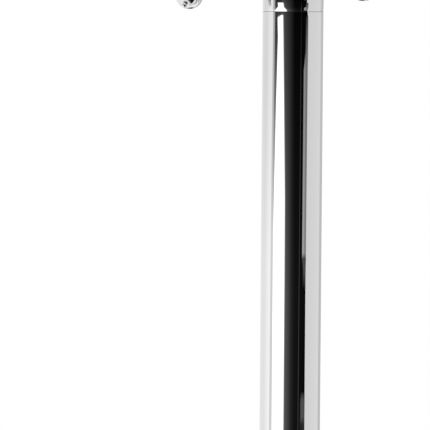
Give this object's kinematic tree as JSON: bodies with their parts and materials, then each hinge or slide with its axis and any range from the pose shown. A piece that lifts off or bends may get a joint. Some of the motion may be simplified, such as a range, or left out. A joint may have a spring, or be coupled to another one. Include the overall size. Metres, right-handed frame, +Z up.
{
  "type": "floor standing bath filler",
  "caption": "Chrome column on a round floor cover carries a mixer body with a quarter-turn lever on each side and a swan neck spout that swivels.",
  "frame": {"origin": "middle of the foot's underside, on the floor and on the column's axis", "axes": "+Z up the column, -Y the way the spout points at rest, -X the hot side, +X the cold side"},
  "size_m": [0.1844, 0.288, 1.0164],
  "materials": {
    "polished_chrome": "polished chrome plate on brass",
    "turned_brass": "turned brass",
    "drawn_copper": "drawn copper tube",
    "stainless_steel": "plain stainless steel",
    "black_rubber": "moulded rubber",
    "black_nylon": "turned nylon",
    "acetal": "moulded acetal",
    "alumina": "lapped ceramic",
    "white_porcelain": "glazed porcelain"
  },
  "bodies": {
    "stand": {"foot": "turned_brass", "foot_set_screws": "stainless_steel", "inlet_filters": "stainless_steel", "riser_foot_seals": "black_rubber", "riser_head_seals": "black_rubber", "column_tube": "polished_chrome", "column_spigot": "turned_brass", "spigot_bolts": "stainless_steel", "column_set_screw": "stainless_steel", "joint_ring": "black_nylon", "mixer_body": "polished_chrome", "swivel_bush": "black_nylon", "spout_stop_screw": "stainless_steel", "hot_check_valve": "acetal", "hot_riser_pipe": "drawn_copper", "hot_seat_seal": "black_rubber", "hot_fixed_disc": "alumina", "hot_valve_housing": "turned_brass", "hot_housing_washer": "black_nylon", "hot_bonnet": "polished_chrome", "cold_check_valve": "acetal", "cold_riser_pipe": "drawn_copper", "cold_seat_seal": "black_rubber", "cold_fixed_disc": "alumina", "cold_valve_housing": "turned_brass", "cold_housing_washer": "black_nylon", "cold_bonnet": "polished_chrome"},
    "hot_lever": {"hot_lever": "polished_chrome", "hot_finial": "polished_chrome", "hot_index_cap": "white_porcelain", "hot_lever_screw": "stainless_steel", "hot_spindle": "turned_brass", "hot_moving_disc": "alumina", "hot_spindle_seal": "black_rubber", "hot_spindle_clip": "stainless_steel"},
    "cold_lever": {"cold_lever": "polished_chrome", "cold_finial": "polished_chrome", "cold_index_cap": "white_porcelain", "cold_lever_screw": "stainless_steel", "cold_spindle": "turned_brass", "cold_moving_disc": "alumina", "cold_spindle_seal": "black_rubber", "cold_spindle_clip": "stainless_steel"},
    "spout": {"spout_base": "turned_brass", "spout_seals": "black_rubber", "spout_tube": "polished_chrome", "spout_collar": "polished_chrome", "collar_set_screw": "stainless_steel", "outlet_nose": "polished_chrome", "aerator_washer": "black_rubber", "aerator_housing": "polished_chrome", "aerator_insert": "acetal"},
    "floor_cover": {"floor_cover": "polished_chrome", "cover_o_ring": "black_rubber"}
  },
  "joints": [
    {"name": "hot_lever_turn", "type": "hinge", "parent": "stand", "child": "hot_lever", "pos_m": [-0.0788, 0, 0.7834], "axis": [-1, 0, 0], "range_deg": [0, 90]},
    {"name": "cold_lever_turn", "type": "hinge", "parent": "stand", "child": "cold_lever", "pos_m": [0.0788, 0, 0.7834], "axis": [-1, 0, 0], "range_deg": [-11.5, 78.5]},
    {"name": "spout_swivel", "type": "hinge", "parent": "stand", "child": "spout", "pos_m": [0, 0, 0.82], "axis": [0, 0, 1], "range_deg": [-60, 60]},
    {"name": "floor_cover_slide", "type": "slide", "parent": "stand", "child": "floor_cover", "axis": [0, 0, 1], "range_m": [0, 0.1]}
  ]
}
